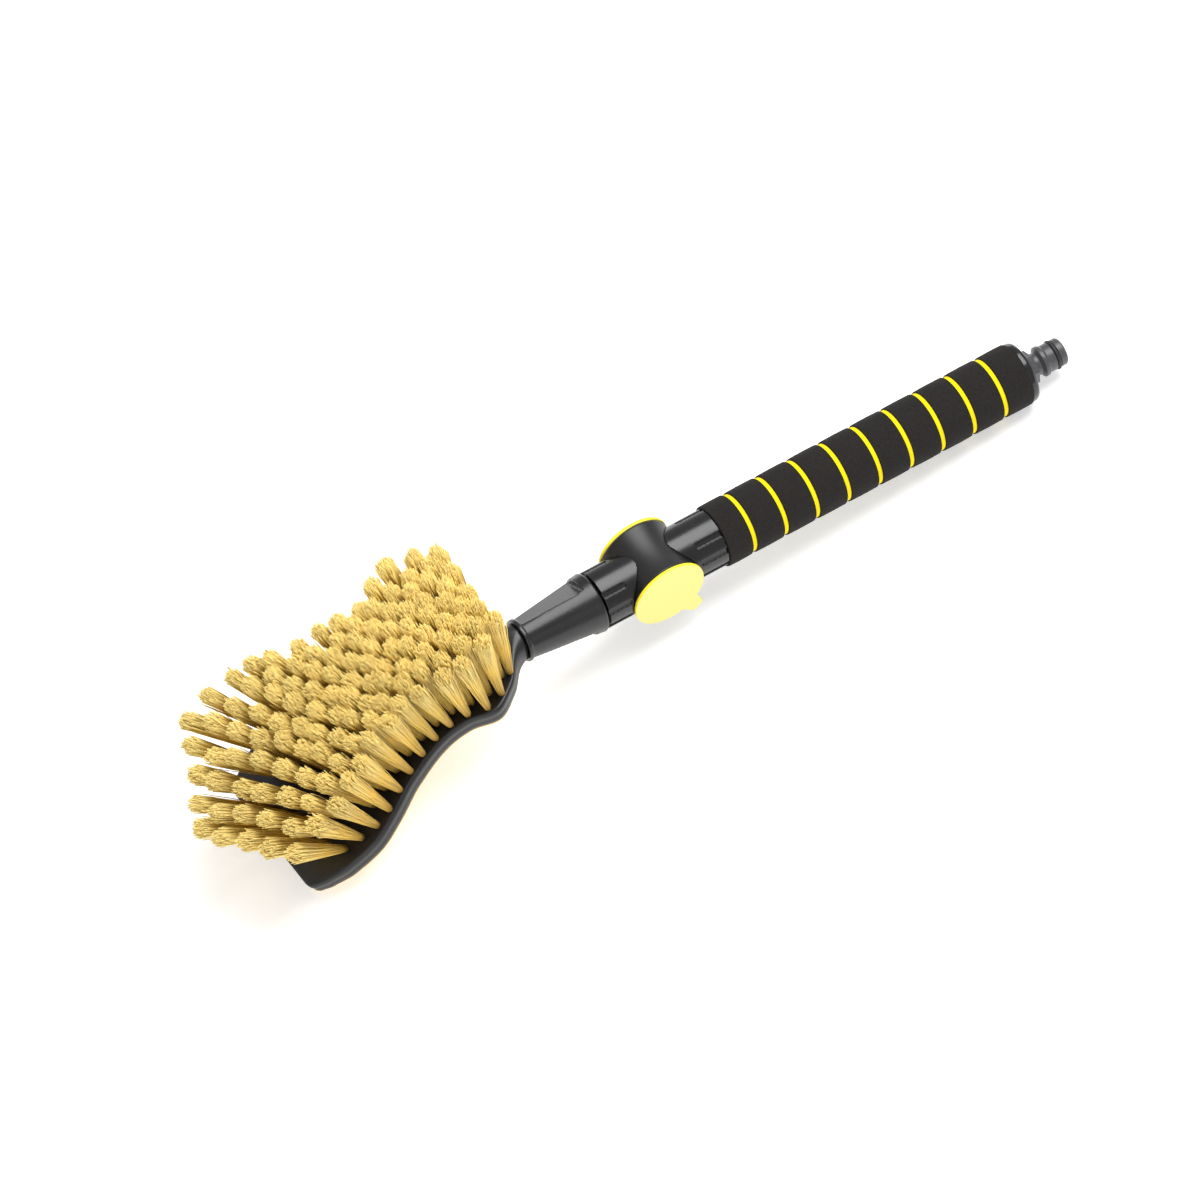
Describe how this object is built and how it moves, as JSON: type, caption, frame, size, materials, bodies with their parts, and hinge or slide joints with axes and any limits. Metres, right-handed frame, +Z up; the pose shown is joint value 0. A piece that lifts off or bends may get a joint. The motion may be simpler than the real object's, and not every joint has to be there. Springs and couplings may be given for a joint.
{
  "type": "wheel brush",
  "caption": "Water-fed wheel brush: arched, flared head of straw-coloured bristle tufts, tapered neck, quarter-turn shut-off valve, foam-gripped handle and hose connector.",
  "frame": {"origin": "on the floor under the middle of the brush's overall length and width, as it lies bristles up on the far edge of its head and the rear of its grip", "axes": "+X along the brush towards the hose connector, parallel to the floor (the handle's own axis dips 6.30 degrees towards the connector); +Y away from the disc with the thumb tab, parallel to the valve's axis; +Z up, the way the bristles point"},
  "size_m": [0.5373, 0.1098, 0.1315],
  "materials": {
    "block_black": "moulded black plastic, satin, fine spark texture",
    "cover_yellow": "moulded yellow plastic, satin",
    "bristle": "straw-coloured split-tip synthetic bristle",
    "anchor_wire": "flat anchor wire",
    "socket_black": "charcoal moulded plastic, satin",
    "sleeve_black": "charcoal moulded plastic, satin",
    "valve_black": "black moulded plastic, fine matt",
    "plug_white": "natural acetal",
    "seal_rubber": "black nitrile rubber",
    "disc_yellow": "yellow moulded plastic, matt",
    "tube_alloy": "plain drawn tube",
    "foam_yellow": "closed-cell yellow foam",
    "foam_black": "closed-cell black foam, fine skin",
    "cap_black": "glossy black plastic",
    "nipple_grey": "dark grey glass-filled plastic, satin"
  },
  "bodies": {
    "brush": {"brush_block": "block_black", "back_cover": "cover_yellow", "tuft_row_1": "bristle", "tuft_row_2": "bristle", "tuft_row_3": "bristle", "tuft_row_4": "bristle", "tuft_row_5": "bristle", "tuft_row_6": "bristle", "tuft_row_7": "bristle", "tuft_row_8": "bristle", "tuft_row_9": "bristle", "tuft_anchors": "anchor_wire", "head_socket": "socket_black", "head_o_ring": "seal_rubber", "front_sleeve": "sleeve_black", "valve_housing": "valve_black", "rear_sleeve": "sleeve_black", "handle_tube": "tube_alloy", "grip_core": "foam_yellow", "grip_band_1": "foam_black", "grip_band_2": "foam_black", "grip_band_3": "foam_black", "grip_band_4": "foam_black", "grip_band_5": "foam_black", "grip_band_6": "foam_black", "grip_band_7": "foam_black", "grip_band_8": "foam_black", "grip_band_9": "foam_black", "grip_band_10": "foam_black", "end_cap": "cap_black", "hose_nipple": "nipple_grey", "nipple_o_ring": "seal_rubber", "nipple_washer": "seal_rubber"},
    "valve_knob": {"valve_plug": "plug_white", "plug_o_ring_near": "seal_rubber", "plug_o_ring_far": "seal_rubber", "lever_disc": "disc_yellow", "far_disc": "disc_yellow"}
  },
  "joints": [
    {"name": "valve_turn", "type": "hinge", "parent": "brush", "child": "valve_knob", "pos_m": [0.01435, 0, 0.0423], "axis": [0, 1, 0], "range_deg": [-53.5, 36.5]}
  ]
}
